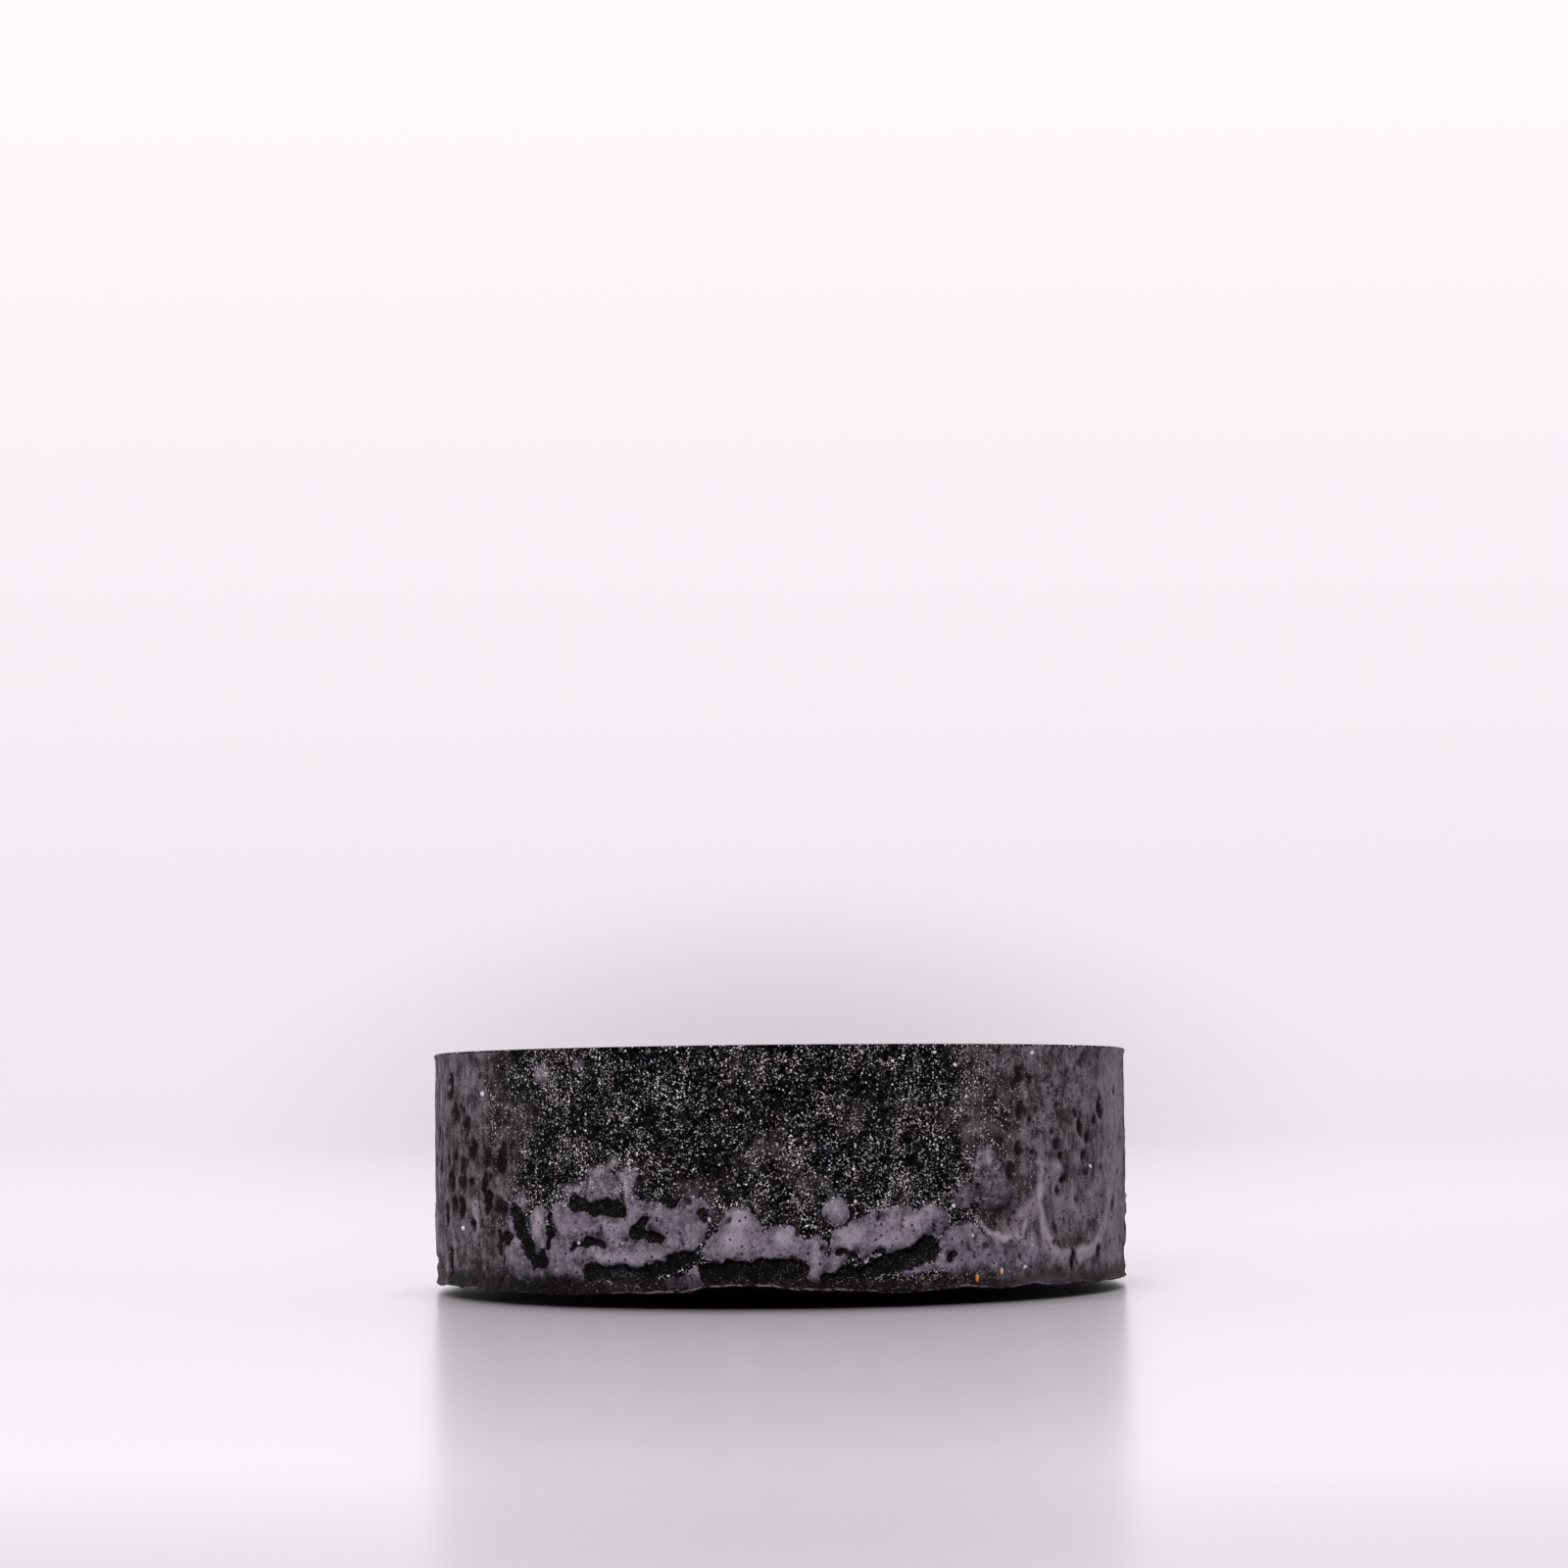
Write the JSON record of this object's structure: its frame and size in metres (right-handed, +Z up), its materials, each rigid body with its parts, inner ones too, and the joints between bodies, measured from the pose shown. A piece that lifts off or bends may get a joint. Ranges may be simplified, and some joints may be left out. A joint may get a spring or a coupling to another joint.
{
  "type": "hockey puck",
  "caption": "Solid ice hockey puck: a squat disc of black cast rubber compound, flat on top and slightly crowned below, with a pitted, grit-speckled wall and a ragged flash lip.",
  "frame": {"origin": "middle of the flat foot on the underside, the lowest point of the puck", "axes": "+Z up along the puck's axis; -Y is the front, the side with the largest skinned patches, the wide basin to its right and the two amber grains; +X is to the right seen from the front"},
  "size_m": [0.0762, 0.0762, 0.0254],
  "materials": {
    "rubber_compound": "satin",
    "pale_mineral": "satin",
    "amber_mineral": "gloss"
  },
  "bodies": {
    "root": {"puck_body": "rubber_compound", "pale_grit": "pale_mineral", "amber_grit": "amber_mineral"}
  },
  "joints": []
}
